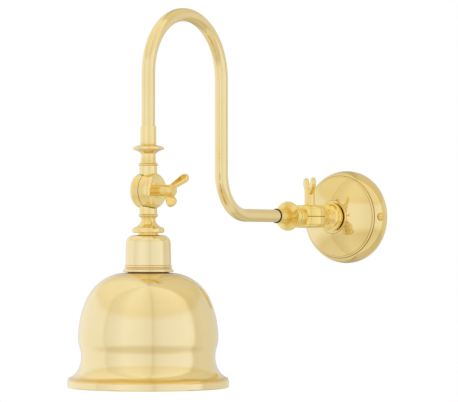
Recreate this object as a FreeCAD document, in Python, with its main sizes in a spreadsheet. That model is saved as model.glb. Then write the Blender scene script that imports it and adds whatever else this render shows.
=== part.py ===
import FreeCAD, Part
import os
import re
from math import cos, sqrt, tan

import Sketcher
from FreeCAD import Placement, Rotation, Vector

# Swivel-arm wall light with a bell shade, in brass.
# Frame: the wall is the plane Y = 0, the light stands out towards -Y, +Z is up.
# The origin is the middle of the wall bracket's back face. Millimetres and degrees.

SIZES = {
    # wall plate: a spun cup, measured by radius and by height off the wall
    "plate_radius": 49.2,
    "plate_rim": 4.7,
    "plate_wall": 1.5,
    "band_radius": 44.2,
    "band_height": 17.6,
    "band_round": 22,
    "bead_width": 2.4,
    "bead_depth": 0.5,
    "dome_rise": 14.4,
    "boss_radius": 17.5,
    "plate_height": 32.9,
    "seat_ring_radius": 12.5,
    "seat_gap": 2,
    # wall bracket: a flat bar with a tab above it and a leaning ear at each end
    "bar_half": 40.5,
    "bar_width": 18,
    "bar_thick": 2,
    "ear_height": 14.5,
    "tab_width": 34,
    "tab_height": 34.5,
    "slot_spacing": 50,
    "slot_length": 12,
    "slot_width": 5,
    "cable_hole_radius": 8,
    "cable_bush_bore": 5,
    "cable_bush_flange": 1.6,
    # plate screws, square to the band
    "side_screw_radius": 2,
    "side_screw_play": 0.2,
    "side_head_radius": 3.9,
    "side_head_height": 2.2,
    "side_screw_length": 9,
    # hub: threaded nipple, washer and lock nut
    "nipple_radius": 5,
    "nipple_bore": 3.5,
    "nipple_grip": 9,
    "hole_play": 0.2,
    "hub_washer_radius": 13,
    "hub_washer_thick": 2.4,
    "nut_corner_radius": 8.1,
    "nut_thick": 3.5,
    "nipple_tail": 2,
    # swivel knuckle, two halves on one pivot
    "knuckle_radius": 17,
    "knuckle_half": 11.75,
    "knuckle_round": 5.2,
    "split_gap": 0.5,
    "stub_clearance": 0.4,
    "stub_sink": 0.6,
    "hub_radius": 7.2,
    "chamber_radius": 12,
    "chamber_depth": 7.5,
    "spigot_radius": 5,
    "spigot_length": 4,
    "running_gap": 0.05,
    "pivot_screw_radius": 3,
    "pivot_screw_play": 0.25,
    "thread_depth": 9,
    "friction_inner": 12.8,
    "friction_outer": 16.2,
    "friction_thick": 1.1,
    "friction_play": 0.15,
    "stop_pin_radius": 1.5,
    "stop_margin": 11,
    "wire_side_open": 20,
    # limits of the two swivels
    "swing_limit": 80,
    "tilt_in_limit": 45,
    "tilt_out_limit": 90,
    # collar stubs, measured from the pivot
    "stub_radius": 8.5,
    "ring_radius": 9.7,
    "ring_width": 1,
    "wire_bore": 3.5,
    "sleeve_ring_at": 24.6,
    "sleeve_neck_radius": 7,
    "sleeve_neck_at": 30.5,
    "sleeve_neck_length": 5,
    "disc_radius": 15.5,
    "disc_at": 40.7,
    "disc_edge": 1.9,
    "disc_crown": 3,
    "sleeve_radius": 7.6,
    "sleeve_reach": 62,
    "socket_at": 47,
    "flange_ring_at": 23.2,
    "flange_neck_radius": 6.9,
    "flange_neck_at": 28,
    "flange_radius": 15.4,
    "flange_edge": 4.4,
    "flange_reach": 40.5,
    # arm tube
    "tube_radius": 6.5,
    "tube_bore": 4.75,
    "tube_end_gap": 0.2,
    "bend_radius": 41.6,
    "riser_reach": 234.1,
    "spring_height": 135.2,
    "arch_radius": 60.2,
    "tilt_height": 22,
    "flex_radius": 2.6,
    "flex_end_gap": 0.3,
    # wing screws
    "thrust_washer_radius": 7,
    "thrust_washer_thick": 0.8,
    "barrel_radius": 5.4,
    "barrel_length": 18,
    "barrel_flare": 0.5,
    "ear_root_radius": 2.9,
    "ear_root_out": 2.8,
    "ear_root_up": 12,
    "ear_tip_radius": 5.3,
    "ear_length": 16,
    "ear_splay": 49,
    "ear_thick": 4.6,
    "ear_round": 1.9,
    "swing_ear_turn": -42,
    "tilt_ear_turn": 49,
    # cup over the lampholder
    "cup_height": 35.4,
    "cup_radius": 21.5,
    "cup_foot_radius": 22,
    "cup_round": 8,
    "cup_wall": 1.2,
    "cup_bead": 0.7,
    "cup_lip_radius": 24.3,
    "cup_lip_height": 2.8,
    "lip_gap": 0.6,
    # bell shade, measured down from its flat top
    "shade_wall": 1,
    "shade_hole_play": 0.3,
    "crown_radius": 43,
    "crown_centre": 20,
    "crown_end_angle": 24,
    "bulge_radius": 67.2,
    "bulge_height": 47.4,
    "waist_radius": 64.3,
    "waist_height": 29.4,
    "flare_share": 0.26,
    "flare_height": 16.4,
    "flare_inset": 1,
    "flare_end_height": 9.1,
    "flare_curve": 15.5,
    "mouth_radius": 77.4,
    "shade_depth": 109.9,
    "rim_height": 6.9,
    "rim_wall": 1.8,
    # lampholder
    "holder_radius": 19.8,
    "holder_cap_drop": 7.6,
    "holder_cap_height": 14,
    "holder_wall": 1.7,
    "skirt_radius": 18,
    "skirt_reach": 27.5,
    "insert_height": 9,
    "shell_radius": 14.2,
    "shell_wall": 0.5,
    "shell_length": 34,
    "contact_height": 2.6,
    "shade_ring_radius": 24,
    "shade_ring_height": 6,
    # bulb
    "bulb_cap_radius": 13.2,
    "bulb_cap_length": 25,
    "bulb_button_radius": 4.8,
    "bulb_button_height": 2.4,
    "bulb_radius": 29,
    "bulb_length": 79,
    "bulb_wall": 0.9,
    # supply terminals
    "block_length": 27,
    "block_width": 15,
    "block_thick": 12,
    "way_spacing": 9,
    "way_radius": 2.1,
    "terminal_screw_radius": 1.5,
    "terminal_screw_spacing": 6,
    "earth_screw_radius": 2,
    "earth_head_radius": 3.6,
    "earth_offset": 11.5,
    "core_radius": 1.1,
    "core_spread": 1.4,
    "core_straight": 6,
}

doc = FreeCAD.newDocument("WallLight")
sheet = doc.addObject("Spreadsheet::Sheet", "Sizes")
for row, (alias, number) in enumerate(SIZES.items(), start=1):
    sheet.set(f"A{row}", alias)
    sheet.set(f"B{row}", str(number))
    sheet.setAlias(f"B{row}", alias)
doc.recompute()


# ---------------------------------------------------------------- helpers

def formula(text):
    """Turn the plain words of a size formula into references to the sheet."""
    return re.sub(r"[a-z]\w*", lambda m: f"Sizes.{m[0]}" if m[0] in SIZES else m[0], str(text))


def value(text):
    """The number that a size formula comes to."""
    return float(sheet.evalExpression(formula(text)))


def bind(thing, **formulas):
    """Tie properties of a document object to size formulas."""
    for name, text in formulas.items():
        thing.setExpression(name, formula(text))


def put(thing, x=0, y=0, z=0, turn=None):
    """Turn an object and tie its place to size formulas."""
    thing.Placement = Placement(Vector(), turn or Rotation())
    for name, text in (("x", x), ("y", y), ("z", z)):
        thing.setExpression(f".Placement.Base.{name}", formula(text))


def new_body(label):
    body = doc.addObject("PartDesign::Body", label)
    body.Label = label
    return body


def origin_part(body, role):
    return next(part for part in body.Origin.OriginFeatures if part.Role == role)


def arc_middle(start, end, radius):
    """Middle of an arc that bulges to the right of start-to-end for a positive radius."""
    chord = end - start
    half = chord.Length / 2
    across = Vector(chord.y, -chord.x, 0).normalize()
    rise = abs(radius) - sqrt(max(radius * radius - half * half, 0))
    return start + chord * 0.5 + across * (rise if radius > 0 else -rise)


def outline(body, plane, points):
    """Closed sketch on an origin plane; each point is (x, y) or (x, y, radius of the arc to the next)."""
    sketch = body.newObject("Sketcher::SketchObject", "Outline")
    sketch.AttachmentSupport = [(origin_part(body, plane), "")]
    sketch.MapMode = "FlatFace"
    places = [Vector(value(point[0]), value(point[1]), 0) for point in points]
    starts = []
    for index, point in enumerate(points):
        start, end = places[index], places[(index + 1) % len(points)]
        if len(point) == 3:
            middle = arc_middle(start, end, value(point[2]))
            edge = sketch.addGeometry(Part.Arc(start, middle, end), False)
            radius = sketch.addConstraint(Sketcher.Constraint("Radius", edge, abs(value(point[2]))))
            sketch.setExpression(f"Constraints[{radius}]", formula(f"abs({point[2]})"))
        else:
            edge = sketch.addGeometry(Part.LineSegment(start, end), False)
        starts.append(1 if sketch.getPoint(edge, 1).distanceToPoint(start) < 1e-6 else 2)
    for index, first in enumerate(starts):
        after = (index + 1) % len(points)
        sketch.addConstraint(Sketcher.Constraint("Coincident", index, 3 - first, after, starts[after]))
        for axis, text in (("DistanceX", points[index][0]), ("DistanceY", points[index][1])):
            size = sketch.addConstraint(Sketcher.Constraint(axis, -1, 1, index, first, value(text)))
            sketch.setExpression(f"Constraints[{size}]", formula(text))
    return sketch


def inset(point, wall):
    """The point of a shell's inner outline behind (r, z, angle of the outward normal)."""
    return (f"({point[0]}) - {wall} * cos({point[2]})", f"({point[1]}) - {wall} * sin({point[2]})")


def revolve(body, points, axis="V_Axis"):
    """Turn an outline about the body's Z axis (V) or its X axis (H)."""
    profile = outline(body, "XZ_Plane", points)
    feature = body.newObject("PartDesign::Revolution", "Turning")
    feature.Profile = profile
    feature.ReferenceAxis = (profile, [axis])
    feature.Angle = 360
    return feature


def pad(body, plane, points, length, midplane=False, flipped=False):
    feature = body.newObject("PartDesign::Pad", "Plate")
    feature.Profile = outline(body, plane, points)
    feature.Midplane = midplane
    feature.Reversed = flipped
    bind(feature, Length=length)
    return feature


def cylinder(body, radius, height, x=0, y=0, z=0, turn=None, cut=True):
    kind = "PartDesign::SubtractiveCylinder" if cut else "PartDesign::AdditiveCylinder"
    feature = body.newObject(kind, "Hole" if cut else "Boss")
    bind(feature, Radius=radius, Height=height)
    put(feature, x, y, z, turn)
    return feature


def cut_box(body, length, width, height, x, y, z, turn=None):
    feature = body.newObject("PartDesign::SubtractiveBox", "Slot")
    bind(feature, Length=length, Width=width, Height=height)
    put(feature, x, y, z, turn)
    return feature


def round_edges(body, feature, radius, chosen):
    """Fillet the edges of the body's last feature that the test picks out."""
    doc.recompute()
    names = [f"Edge{n}" for n, edge in enumerate(feature.Shape.Edges, start=1) if chosen(edge)]
    fillet = body.newObject("PartDesign::Fillet", "Rounding")
    fillet.Base = (feature, names)
    bind(fillet, Radius=radius)
    return fillet


def turned(label, points):
    """A body that is one turned outline."""
    body = new_body(label)
    revolve(body, points)
    return body


def tube_points(outer, inner, low, high):
    """Outline of a plain ring or pipe."""
    return [(inner, low), (outer, low), (outer, high), (inner, high)]


def smooth_tube(label, route, radius):
    """Round wire along straight runs that tangent arcs join."""
    corners = [Vector(*[value(text) for text in point]) for point in route]
    edges = []
    start = corners[0]
    for before, corner, after in zip(corners, corners[1:], corners[2:]):
        incoming = (corner - before).normalize()
        outgoing = (after - corner).normalize()
        turn = incoming.getAngle(outgoing)
        shorter = min((corner - before).Length, (after - corner).Length)
        reach = 0.45 * shorter
        arc_start = corner - incoming * reach
        arc_end = corner + outgoing * reach
        bend = reach / tan(turn / 2)
        centre = corner + (outgoing - incoming).normalize() * (bend / cos(turn / 2))
        arc_middle_point = centre + (corner - centre).normalize() * bend
        edges.append(Part.LineSegment(start, arc_start).toShape())
        edges.append(Part.Arc(arc_start, arc_middle_point, arc_end).toShape())
        start = arc_end
    edges.append(Part.LineSegment(start, corners[-1]).toShape())
    section = Part.makeCircle(value(radius), corners[0], corners[1] - corners[0])
    wire = doc.addObject("Part::Feature", label)
    wire.Label = label
    wire.Shape = Part.Wire(edges).makePipeShell([Part.Wire(section)], True, False)
    return wire


# A turned piece's Z axis points away from the wall, or straight up at the shade.
OFF_WALL = Rotation(Vector(1, 0, 0), 90)

# Places that several pieces share.
SWING_PIVOT = "(plate_height + seat_gap + flange_reach)"
DROP_REACH = "(riser_reach + 2 * arch_radius)"
CUP_TOP = "(tilt_height - flange_reach - seat_gap)"
CUP_FOOT = f"({CUP_TOP} - cup_height)"
SHADE_TOP = f"({CUP_FOOT} - lip_gap)"
HOLDER_TOP = f"({CUP_TOP} - holder_cap_drop)"
HOLDER_SPLIT = f"({HOLDER_TOP} - holder_cap_height)"


# ---------------------------------------------------------------- wall plate and bracket

def band_angle():
    """Angle of the band's chord normal out of the wall plane, in degrees."""
    return "(atan((plate_radius - band_radius) / (band_height - plate_rim)) / 1 deg)"


BAND_CHORD = "(sqrt((plate_radius - band_radius)^2 + (band_height - plate_rim)^2) / 2)"
BAND_SAG = f"(band_round - sqrt(band_round^2 - {BAND_CHORD}^2))"
SEAT_OUT = f"((plate_radius + band_radius) / 2 + {BAND_SAG} * cos({band_angle()}))"
SEAT_UP = f"((plate_rim + band_height) / 2 + {BAND_SAG} * sin({band_angle()}))"
DOME_START = "(band_height + bead_width - bead_depth)"
DOME_RADIUS = "(band_radius - bead_width)"
DOME_ROUND = f"(({DOME_RADIUS}^2 + dome_rise^2) / (2 * dome_rise))"
DOME_TOP = f"({DOME_START} + dome_rise)"
DOME_ANGLE = f"(90 - asin({DOME_RADIUS} / {DOME_ROUND}) / 1 deg)"
BOSS_FOOT = f"({DOME_TOP} - {DOME_ROUND} + sqrt({DOME_ROUND}^2 - boss_radius^2))"
BLOCK_MIDDLE = "(bar_width / 2 + block_width / 2 + 1)"
EARTH_ROW = f"({BLOCK_MIDDLE} + block_width / 2 + earth_head_radius + 0.6)"
INNER_ROOF = "(plate_height - plate_wall - bead_depth)"


def wall_plate():
    body = new_body("wall_plate")
    rim = ("plate_radius", "plate_rim", "3")
    band = ("band_radius", "band_height", f"2 * {band_angle()} - 3")
    dome = (DOME_RADIUS, DOME_START, DOME_ANGLE)
    foot = (DOME_RADIUS, f"{DOME_START} - bead_depth", "60")
    bead = f"(band_radius - bead_width / 2)"
    outside = [
        ("plate_radius - bead_depth", "0"),
        (rim[0], rim[1], "band_round"),
        (band[0], band[1]),
        ("band_radius - bead_depth", "band_height - bead_depth / 2"),
        (bead + " + bead_depth", "band_height + bead_width / 3", "bead_width / 2"),
        (f"{DOME_RADIUS} + bead_depth", f"{DOME_START} - bead_depth"),
        (dome[0], dome[1], DOME_ROUND),
        ("boss_radius", BOSS_FOOT),
        ("boss_radius - bead_depth", "plate_height"),
        ("nipple_radius + hole_play", "plate_height"),
    ]
    inside = [
        ("nipple_radius + hole_play", INNER_ROOF),
        ("hub_washer_radius + 1", INNER_ROOF, f"plate_wall - {DOME_ROUND}"),
        inset(foot, "plate_wall"),
        inset(band, "plate_wall") + ("plate_wall - band_round",),
        inset(rim, "plate_wall"),
        ("plate_radius - bead_depth - plate_wall", "0"),
    ]
    revolve(body, outside + inside)
    for side in (1, -1):
        lean = Rotation(Vector(0, 1, 0), side * (90 - value(band_angle())))
        out, up = leaning(side, "2 * plate_wall")
        cylinder(body, "side_screw_radius + side_screw_play", "3 * plate_wall", out, 0, up, lean)
    put(body, turn=OFF_WALL)


def leaning(side, depth):
    """Place on a side screw's axis, a depth below the middle of the band's skin."""
    out = f"{side} * ({SEAT_OUT} - ({depth}) * cos({band_angle()}))"
    up = f"{SEAT_UP} - ({depth}) * sin({band_angle()})"
    return out, up


def wall_bracket():
    body = new_body("wall_bracket")
    half = "bar_half"
    pad(body, "XY_Plane", [
        (f"-{half}", "-bar_width / 2"), (half, "-bar_width / 2"),
        (half, "bar_width / 2"), ("tab_width / 2", "bar_width / 2"),
        ("tab_width / 2", "tab_height"), ("-tab_width / 2", "tab_height"),
        ("-tab_width / 2", "bar_width / 2"), (f"-{half}", "bar_width / 2"),
    ], "bar_thick")
    for side in (1, -1):
        top = f"{side} * ({half} - ear_height * tan({band_angle()}))"
        thick = f"{side} * bar_thick / cos({band_angle()})"
        pad(body, "XZ_Plane", [
            (f"{side} * {half}", "0"), (top, "ear_height"),
            (f"{top} - {thick}", "ear_height"), (f"{side} * {half} - {thick}", "0"),
        ], "bar_width", midplane=True)
        lean = Rotation(Vector(0, 1, 0), side * (90 - value(band_angle())))
        out, up = leaning(side, "side_screw_length + 4")
        cylinder(body, "side_screw_radius", "side_screw_length + 2", out, 0, up, lean)
        slot = "slot_length / 2 - slot_width / 2"
        middle = f"{side} * slot_spacing / 2"
        for end in (1, -1):
            cylinder(body, "slot_width / 2", "bar_thick", f"{middle} + {end} * ({slot})")
        cut_box(body, "slot_length - slot_width", "slot_width", "bar_thick",
                f"{middle} - ({slot})", "-slot_width / 2", 0)
    cylinder(body, "cable_hole_radius", "bar_thick")
    cylinder(body, "terminal_screw_radius", "bar_thick", 0, BLOCK_MIDDLE)
    cylinder(body, "earth_screw_radius", "bar_thick", "earth_offset", EARTH_ROW)
    put(body, turn=OFF_WALL)




def side_screw(label, side):
    """Slotted dome-head screw along local Z, with its head outwards."""
    body = turned(label, [
        ("0", "-side_screw_length"), ("side_screw_radius - 0.4", "-side_screw_length"),
        ("side_screw_radius", "0.4 - side_screw_length"), ("side_screw_radius", "0"),
        ("side_head_radius", "0"), ("side_head_radius", "side_head_height / 3",
                                    "(side_head_radius^2 + (side_head_height * 2 / 3)^2)"
                                    " / (side_head_height * 4 / 3)"),
        ("0", "side_head_height"),
    ])
    cut_box(body, "2 * side_head_radius", "1", "1", "-side_head_radius", "-0.5", "side_head_height - 1")
    lean = Rotation(Vector(0, 1, 0), side * (90 - value(band_angle())))
    out, up = leaning(side, "0")
    put(body, out, f"-({up})", 0, OFF_WALL.multiply(lean))


def cable_bush():
    body = turned("cable_bush", [
        ("cable_bush_bore", "0"), ("cable_hole_radius", "0"), ("cable_hole_radius", "bar_thick"),
        ("cable_hole_radius + 1.5", "bar_thick"),
        ("cable_hole_radius + 1.5", "bar_thick + cable_bush_flange - 0.5"),
        ("cable_hole_radius + 1", "bar_thick + cable_bush_flange"),
        ("cable_bush_bore", "bar_thick + cable_bush_flange"),
    ])
    put(body, turn=OFF_WALL)


def hexagon_nut(label, height):
    body = new_body(label)
    prism = body.newObject("PartDesign::AdditivePrism", "Hexagon")
    prism.Polygon = 6
    bind(prism, Circumradius="nut_corner_radius", Height=height)
    cylinder(body, "nipple_radius", height)
    return body


def hub():
    """Threaded nipple that clamps the plate between its seat ring and a lock nut."""
    washer_low = f"{INNER_ROOF} - hub_washer_thick"
    nut_low = f"{washer_low} - nut_thick"
    low = f"{nut_low} - nipple_tail"
    nipple = turned("hub_nipple", tube_points("nipple_radius", "nipple_bore", low,
                                              "plate_height + seat_gap + nipple_grip"))
    washer = turned("hub_washer", tube_points("hub_washer_radius", "nipple_radius", washer_low, INNER_ROOF))
    ring = turned("hub_seat_ring", tube_points("seat_ring_radius", "nipple_radius",
                                               "plate_height", "plate_height + seat_gap"))
    for body in (nipple, washer, ring):
        put(body, turn=OFF_WALL)
    nut = hexagon_nut("hub_nut", "nut_thick")
    put(nut, 0, f"-({nut_low})", 0, OFF_WALL)


def terminals():
    block = new_body("terminal_block")
    box = pad(block, "XY_Plane", [
        ("-block_length / 2", "-block_width / 2"), ("block_length / 2", "-block_width / 2"),
        ("block_length / 2", "block_width / 2"), ("-block_length / 2", "block_width / 2"),
    ], "block_thick")
    round_edges(block, box, "1", lambda edge: abs(edge.CenterOfMass.z - value("block_thick")) < 0.01)
    across = Rotation(Vector(1, 0, 0), -90)
    for way in (-1, 0, 1):
        cylinder(block, "way_radius", "block_width", f"{way} * way_spacing", "-block_width / 2",
                 "block_thick / 2", across)
        for end in (-1, 1):
            cylinder(block, "terminal_screw_radius", "block_thick / 2", f"{way} * way_spacing",
                     f"{end} * terminal_screw_spacing / 2 * 1.2", "block_thick / 2")
    put(block, 0, "-bar_thick", BLOCK_MIDDLE, OFF_WALL)
    for number, way in enumerate((-1, 0, 1), start=1):
        sleeve = turned(f"terminal_sleeve_{number}", tube_points(
            "way_radius", "core_radius + 0.3", "-block_width / 2 + 1", "block_width / 2 - 1"))
        put(sleeve, f"{way} * way_spacing", "-bar_thick - block_thick / 2", BLOCK_MIDDLE)
    head = turned("earth_screw", [
        ("0", "0"), ("earth_screw_radius", "0"), ("earth_screw_radius", "bar_thick"),
        ("earth_head_radius", "bar_thick"), ("earth_head_radius", "bar_thick + 1.6"),
        ("earth_head_radius - 0.6", "bar_thick + 2.2"), ("0", "bar_thick + 2.2"),
    ])
    cut_box(head, "2 * earth_head_radius", "0.9", "1", "-earth_head_radius", "-0.45", "bar_thick + 1.2")
    put(head, "earth_offset", 0, EARTH_ROW, OFF_WALL)
    fixing = turned("block_screw", [
        ("0", "0"), ("terminal_screw_radius", "0"), ("terminal_screw_radius", "bar_thick"),
        ("0", "bar_thick"),
    ])
    put(fixing, 0, 0, BLOCK_MIDDLE, OFF_WALL)


# ---------------------------------------------------------------- swivels

HALF_GAP = "(split_gap / 2)"
CHAMBER_MIDDLE = "((hub_radius + chamber_radius) / 2)"
STUB_START = "(chamber_radius + stub_sink)"
FLEX_START = "(knuckle_radius + stub_clearance + flex_end_gap)"
FRICTION_FLOOR = "(friction_thick - split_gap / 2)"


def stub_root(ring_at):
    """Start of a stub's outline: from inside the knuckle out to its sharp ring."""
    return [
        ("0", STUB_START), ("stub_radius", STUB_START), ("stub_radius", f"{ring_at} - 0.8"),
        ("ring_radius - 0.2", ring_at), ("ring_radius", f"{ring_at} + ring_width / 3"),
        ("ring_radius - 0.2", f"{ring_at} + ring_width"),
    ]


def sleeve_stub(body):
    """Stub with a lens-edged disc and a socket for the tube."""
    edge = "disc_edge"
    revolve(body, stub_root("sleeve_ring_at") + [
        ("sleeve_neck_radius + 1", "sleeve_ring_at + ring_width + 1", "-8"),
        ("sleeve_neck_radius", "sleeve_neck_at"),
        ("sleeve_neck_radius", "sleeve_neck_at + sleeve_neck_length", "-16"),
        ("disc_radius - disc_edge / 2", f"disc_at - {edge} * 0.7", "disc_edge"),
        ("disc_radius - disc_edge / 2", f"disc_at + {edge} * 0.7"),
        ("sleeve_radius + 0.8", "disc_at + disc_crown", "-1"),
        ("sleeve_radius", "disc_at + disc_crown + 0.7"),
        ("sleeve_radius", "sleeve_reach - 0.4"), ("sleeve_radius - 0.3", "sleeve_reach"),
        ("0", "sleeve_reach"),
    ])


def flange_stub(body):
    """Stub that flares to a flat-faced flange."""
    revolve(body, stub_root("flange_ring_at") + [
        ("flange_neck_radius + 0.8", "flange_neck_at - 2.2", "-6"),
        ("flange_neck_radius", "flange_neck_at", "-9.5"),
        ("flange_radius - 0.9", "flange_reach - flange_edge - 0.6"),
        ("flange_radius", "flange_reach - flange_edge + 0.6"),
        ("flange_radius", "flange_reach - 0.9"), ("flange_radius - 0.9", "flange_reach"),
        ("0", "flange_reach"),
    ])


def sector(start, end, inner, outer):
    """Ring sector, its angles counted from the second axis towards the first."""
    middle = f"(({start}) + ({end})) / 2"

    def spot(radius, angle):
        return (f"{radius} * sin({angle})", f"{radius} * cos({angle})")

    return [
        spot(inner, start), spot(outer, start) + (f"-{outer}",), spot(outer, middle) + (f"-{outer}",),
        spot(outer, end), spot(inner, end) + (inner,), spot(inner, middle) + (inner,),
    ]


def swivel_half(label, stub, near, limits):
    """Half of a knuckle with its stub: pivot on local X, stub along local Z.

    The near half lies under the wing screw's head and holds the friction ring and the stop pin;
    the far half has the spigot, the thread and the chamber that the pin runs in.
    """
    body = new_body(label)
    stub(body)
    sideways = Rotation(Vector(0, 1, 0), 90)
    trim = FRICTION_FLOOR if near else HALF_GAP
    cylinder(body, "knuckle_radius + stub_clearance", f"knuckle_radius * 2 + {trim}",
             "-2 * knuckle_radius", 0, 0, sideways)
    rim = [
        (HALF_GAP, "knuckle_radius - 0.3"), (f"{HALF_GAP} + 0.3", "knuckle_radius"),
        ("knuckle_half - knuckle_round", "knuckle_radius", "-knuckle_round"),
        ("knuckle_half", "knuckle_radius - knuckle_round"), ("knuckle_half", "0"),
    ]
    if near:
        face = [
            (HALF_GAP, "0"), (HALF_GAP, "hub_radius"), ("chamber_depth", "hub_radius"),
            ("chamber_depth", "chamber_radius"), (HALF_GAP, "chamber_radius"),
            (HALF_GAP, "friction_inner"), (FRICTION_FLOOR, "friction_inner"),
            (FRICTION_FLOOR, "friction_outer"), (HALF_GAP, "friction_outer"),
        ]
    else:
        face = [("-spigot_length", "0"), ("-spigot_length", "spigot_radius"), (HALF_GAP, "spigot_radius")]
    revolve(body, face + rim, "H_Axis")
    stop_angle, travel_end = stop_angles(limits)
    if near:
        cylinder(body, "spigot_radius + running_gap", "spigot_length + split_gap", 0, 0, 0, sideways)
        cylinder(body, "pivot_screw_radius + pivot_screw_play", "knuckle_half", 0, 0, 0, sideways)
        cylinder(body, "stop_pin_radius", "2", "chamber_depth", f"{CHAMBER_MIDDLE} * sin({stop_angle})",
                 f"{CHAMBER_MIDDLE} * cos({stop_angle})", sideways)
    else:
        pocket = body.newObject("PartDesign::Pocket", "Chamber")
        pocket.Profile = outline(body, "YZ_Plane", sector("-wire_side_open", travel_end,
                                                          "hub_radius", "chamber_radius"))
        pocket.Reversed = True
        bind(pocket, Length="chamber_depth")
        cylinder(body, "pivot_screw_radius + running_gap", "spigot_length + thread_depth",
                 "-spigot_length", 0, 0, sideways)
    reach = "sleeve_reach" if stub is sleeve_stub else "flange_reach"
    cylinder(body, "wire_bore", f"{reach} - {CHAMBER_MIDDLE}", 0, 0, CHAMBER_MIDDLE)
    if stub is sleeve_stub:
        cylinder(body, "tube_radius", "sleeve_reach - socket_at", 0, 0, "socket_at")
    else:
        cylinder(body, "nipple_radius", "nipple_grip", 0, 0, "flange_reach - nipple_grip")
    return body


def stop_angles(limits):
    """Angle of the stop pin from the near stub, and the end of the chamber that it runs in."""
    inward, outward = limits
    return (f"(180 - {inward} - stop_margin + wire_side_open)",
            f"({inward} + {outward} + 2 * stop_margin - wire_side_open)")


def wing_ear(body, side, seat):
    """Paddle ear on one side of the barrel, its faces rounded over."""
    widen = "asin((ear_tip_radius - ear_root_radius) / ear_length) / 1 deg"

    def spot(along, radius, turn):
        """Point at a radius about a place along the ear, turned from the ear's line."""
        angle = f"(ear_splay + ({turn}))"
        return (f"{side} * (ear_root_out + ({along}) * sin(ear_splay) + {radius} * sin({angle}))",
                f"{seat} + ear_root_up + ({along}) * cos(ear_splay) + {radius} * cos({angle})")

    round_tip = f"{-side} * ear_tip_radius"
    ear = pad(body, "YZ_Plane", [
        spot("0", "ear_root_radius", f"-90 - {widen}"),
        spot("ear_length", "ear_tip_radius", f"-90 - {widen}") + (round_tip,),
        spot("ear_length", "ear_tip_radius", "0") + (round_tip,),
        spot("ear_length", "ear_tip_radius", f"90 + {widen}"),
        spot("0", "ear_root_radius", f"90 + {widen}"),
    ], "ear_thick", midplane=True)
    face = value("ear_thick / 2")
    round_edges(body, ear, "ear_round", lambda edge: side * edge.CenterOfMass.y > 0
                and abs(abs(edge.CenterOfMass.x) - face) < 0.01)


def wing_screw(label, ear_turn):
    """Screw with a barrel head and two paddle ears, along local Z from the pivot."""
    body = new_body(label)
    seat = "(knuckle_half + thrust_washer_thick)"
    top = f"({seat} + barrel_length)"
    wing_ear(body, 1, seat)
    wing_ear(body, -1, seat)
    revolve(body, [
        ("0", "1 - thread_depth"), ("pivot_screw_radius - 0.5", "1 - thread_depth"),
        ("pivot_screw_radius", "1.5 - thread_depth"), ("pivot_screw_radius", seat),
        ("barrel_radius", seat), ("barrel_radius", f"{top} - 4", "-20"),
        ("barrel_radius + barrel_flare", f"{top} - 1"), ("barrel_radius - 0.4", top, "24"),
        ("0", f"{top} + 0.7"),
    ])
    return body, Rotation(Vector(0, 0, 1), ear_turn)


def swivel(prefix, collars, limits, pivot, frame, wing_name, ear_turn):
    """One split knuckle: near half, far half, friction ring, stop pin, thrust washer and wing screw."""
    (near_name, near_stub), (far_name, far_stub) = collars
    flipped = frame.multiply(Rotation(Vector(0, 1, 0), 180))
    put(swivel_half(near_name, near_stub, True, limits), *pivot, frame)
    put(swivel_half(far_name, far_stub, False, limits), *pivot, flipped)
    along = frame.multiply(Rotation(Vector(0, 1, 0), 90))
    ring = turned(f"{prefix}_friction_ring", tube_points(
        "friction_outer - friction_play", "friction_inner + friction_play",
        f"-{HALF_GAP}", f"friction_thick - {HALF_GAP}"))
    washer = turned(f"{prefix}_thrust_washer", tube_points(
        "thrust_washer_radius", "pivot_screw_radius + pivot_screw_play", "knuckle_half",
        "knuckle_half + thrust_washer_thick"))
    screw, spin = wing_screw(wing_name, ear_turn)
    put(ring, *pivot, along)
    put(washer, *pivot, along)
    put(screw, *pivot, along.multiply(spin))
    pin = new_body(f"{prefix}_stop_pin")
    angle = stop_angles(limits)[0]
    cylinder(pin, "stop_pin_radius", "chamber_depth + 6", "-4", f"{CHAMBER_MIDDLE} * sin({angle})",
             f"{CHAMBER_MIDDLE} * cos({angle})", Rotation(Vector(0, 1, 0), 90), cut=False)
    put(pin, *pivot, frame)


# ---------------------------------------------------------------- arm

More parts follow.
